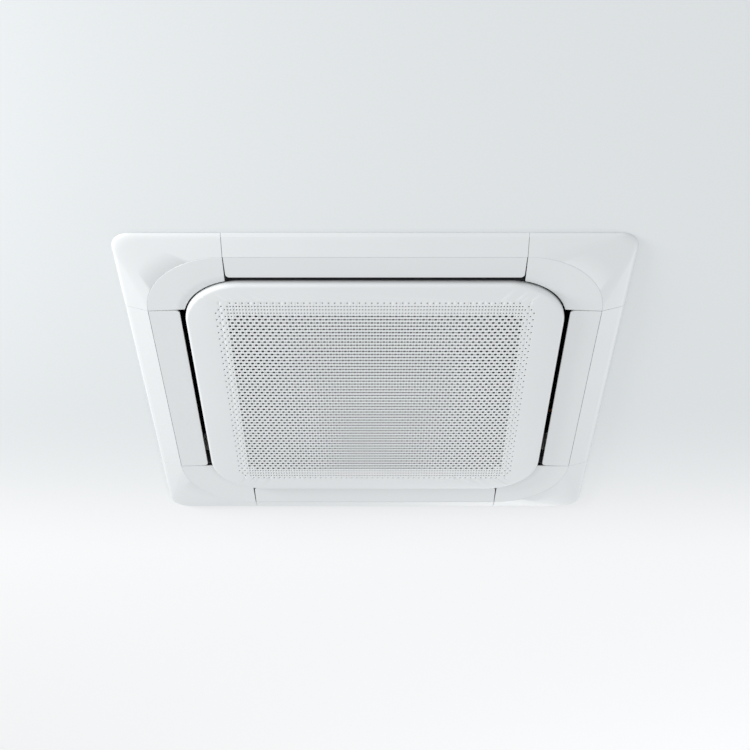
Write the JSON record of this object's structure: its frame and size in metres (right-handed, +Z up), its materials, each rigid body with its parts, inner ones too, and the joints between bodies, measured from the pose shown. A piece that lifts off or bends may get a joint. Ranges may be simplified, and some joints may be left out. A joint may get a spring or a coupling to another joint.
{
  "type": "ceiling cassette air conditioner",
  "caption": "Ceiling cassette air conditioner: square decoration panel with a perforated hinged inlet grille and a swinging louver on each side, under a casing with fan, coil and drain pan.",
  "frame": {"origin": "middle of the decoration panel, on the underside of the ceiling that the panel lies against", "axes": "+Z up into the ceiling, -Y towards the viewer of the picture at the panel's near side, +X to that viewer's right"},
  "size_m": [0.95, 0.95, 0.288],
  "materials": {
    "panel_white": "satin moulded white plastic",
    "louver_white": "satin moulded white plastic",
    "white_satin_plastic": "satin white plastic",
    "filter_grey": "matt grey plastic",
    "fan_plastic": "matt grey plastic",
    "grey_plastic": "matt grey plastic",
    "black_plastic": "matt black plastic",
    "pan_foam": "expanded polystyrene with a plastic skin",
    "insulating_foam": "closed-cell foam",
    "galvanised_sheet": "galvanised sheet steel",
    "motor_steel": "plated steel",
    "fin_aluminium": "bare aluminium fins",
    "copper": "drawn copper tube",
    "brass": "turned brass",
    "circuit_board": "coated circuit board"
  },
  "bodies": {
    "unit": {"casing": "galvanised_sheet", "casing_top": "galvanised_sheet", "casing_liner": "insulating_foam", "hanger_bracket_front_left": "galvanised_sheet", "hanger_bracket_front_right": "galvanised_sheet", "hanger_bracket_back_right": "galvanised_sheet", "hanger_bracket_back_left": "galvanised_sheet", "drain_pan": "pan_foam", "duct_ring": "pan_foam", "bell_mouth": "black_plastic", "coil_fins": "fin_aluminium", "tube_sheet_right": "copper", "tube_sheet_back": "copper", "coil_baffle": "galvanised_sheet", "fan_motor": "motor_steel", "motor_mount": "galvanised_sheet", "gas_line": "copper", "liquid_line": "copper", "gas_flare_nut": "brass", "liquid_flare_nut": "brass", "pipe_plate": "galvanised_sheet", "drain_pump": "white_satin_plastic", "drain_hose": "grey_plastic", "drain_port": "white_satin_plastic", "float_guide": "white_satin_plastic", "control_box": "galvanised_sheet", "control_cover": "galvanised_sheet", "control_board": "circuit_board", "terminal_block": "black_plastic", "panel_gasket": "insulating_foam", "panel_frame": "panel_white", "grille_catch_right": "grey_plastic", "grille_catch_left": "grey_plastic", "louver_motor_front": "motor_steel", "louver_motor_right": "motor_steel", "louver_motor_back": "motor_steel", "louver_motor_left": "motor_steel", "corner_cover_front_right": "panel_white", "corner_cover_back_right": "panel_white", "corner_cover_back_left": "panel_white", "corner_cover_front_left": "panel_white", "panel_screw_front_right": "motor_steel", "panel_screw_back_right": "motor_steel", "panel_screw_back_left": "motor_steel", "panel_screw_front_left": "motor_steel"},
    "front_louver": {"louver_front": "louver_white"},
    "right_louver": {"louver_right": "louver_white"},
    "back_louver": {"louver_back": "louver_white"},
    "left_louver": {"louver_left": "louver_white"},
    "grille": {"inlet_grille": "panel_white", "filter_frame": "filter_grey"},
    "fan": {"turbo_fan": "fan_plastic", "fan_shroud": "fan_plastic", "fan_shaft": "motor_steel", "fan_nut": "motor_steel"},
    "float_switch": {"float": "black_plastic"},
    "right_plunger": {"catch_plunger_right": "white_satin_plastic"},
    "left_plunger": {"catch_plunger_left": "white_satin_plastic"}
  },
  "joints": [
    {"name": "louver_front_swing", "type": "hinge", "parent": "unit", "child": "front_louver", "pos_m": [0, -0.392, -0.004], "axis": [1, 0, 0], "range_deg": [0, 45]},
    {"name": "louver_right_swing", "type": "hinge", "parent": "unit", "child": "right_louver", "pos_m": [0.392, 0, -0.004], "axis": [0, 1, 0], "range_deg": [0, 45]},
    {"name": "louver_back_swing", "type": "hinge", "parent": "unit", "child": "back_louver", "pos_m": [0, 0.392, -0.004], "axis": [-1, 0, 0], "range_deg": [0, 45]},
    {"name": "louver_left_swing", "type": "hinge", "parent": "unit", "child": "left_louver", "pos_m": [-0.392, 0, -0.004], "axis": [0, -1, 0], "range_deg": [0, 45]},
    {"name": "grille_opening", "type": "hinge", "parent": "unit", "child": "grille", "pos_m": [0, 0.351, -0.0195], "axis": [1, 0, 0], "range_deg": [0, 90]},
    {"name": "fan_spin", "type": "hinge", "parent": "unit", "child": "fan", "pos_m": [0, 0, 0.15], "axis": [0, 0, 1], "continuous": true},
    {"name": "float_rise", "type": "slide", "parent": "unit", "child": "float_switch", "axis": [0, 0, 1], "range_m": [0, 0.012]},
    {"name": "plunger_right_press", "type": "slide", "parent": "unit", "child": "right_plunger", "axis": [0, 0, 1], "range_m": [0, 0.003]},
    {"name": "plunger_left_press", "type": "slide", "parent": "unit", "child": "left_plunger", "axis": [0, 0, 1], "range_m": [0, 0.003]}
  ]
}
